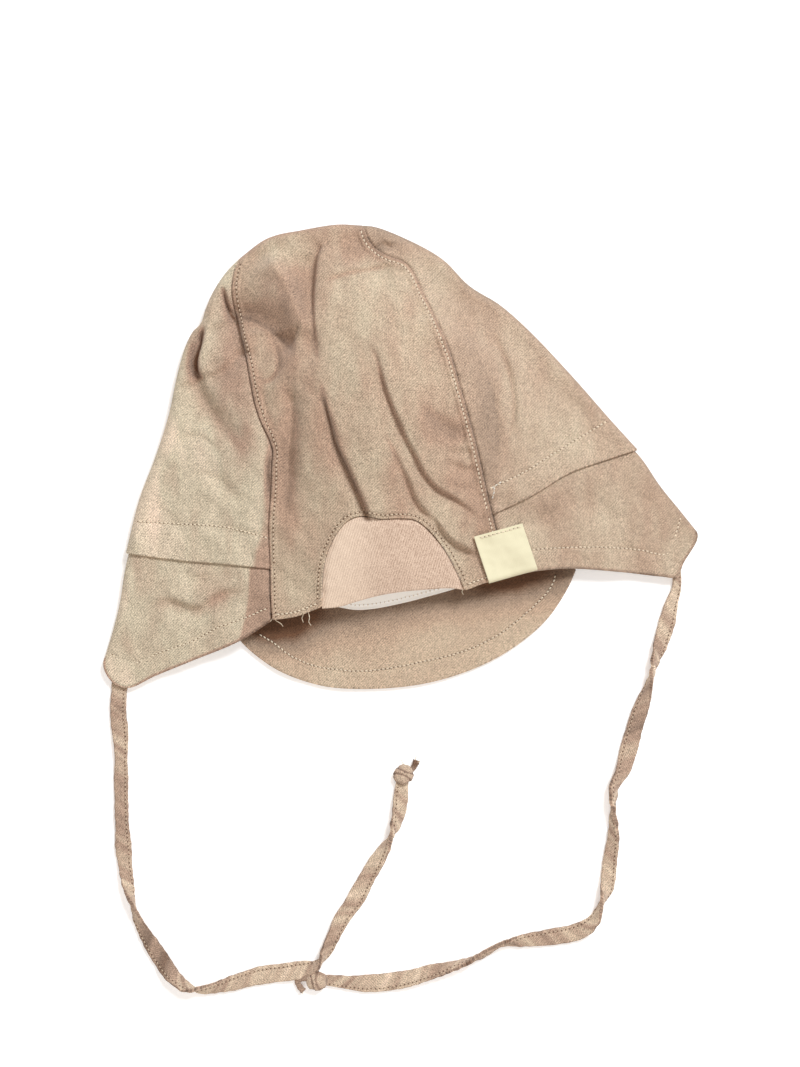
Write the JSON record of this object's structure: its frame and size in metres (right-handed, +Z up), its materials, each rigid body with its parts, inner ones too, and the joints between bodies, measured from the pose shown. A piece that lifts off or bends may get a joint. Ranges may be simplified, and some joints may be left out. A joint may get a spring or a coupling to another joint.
{
  "type": "baby sun hat with ear flaps",
  "caption": "Soft cotton baby sun hat with visor, ear flaps, gathered back and knotted ties, lying flat on its front.",
  "frame": {"origin": "centre of the hat's body, without its ties, on the surface that it lies on", "axes": "+X across the hat from the left to the right flap tip as seen from above, +Y from the mouth to the top of the crown, +Z up from the surface"},
  "size_m": [0.251, 0.3274, 0.0344],
  "materials": {
    "cotton": "fine brown-beige cotton weave, washed and softly creased",
    "jersey": "fine ribbed pinkish jersey knit",
    "lining": "plain white cotton",
    "label": "cream woven satin, bare"
  },
  "bodies": {
    "root": {"crown_center": "cotton", "side_left": "cotton", "side_right": "cotton", "flap_left": "cotton", "flap_right": "cotton", "back_patch": "jersey", "visor": "cotton", "inner_band": "lining", "label": "label", "tie_left": "cotton", "tie_right": "cotton", "tie_knot_left": "cotton", "tie_knot_right": "cotton"}
  },
  "joints": []
}
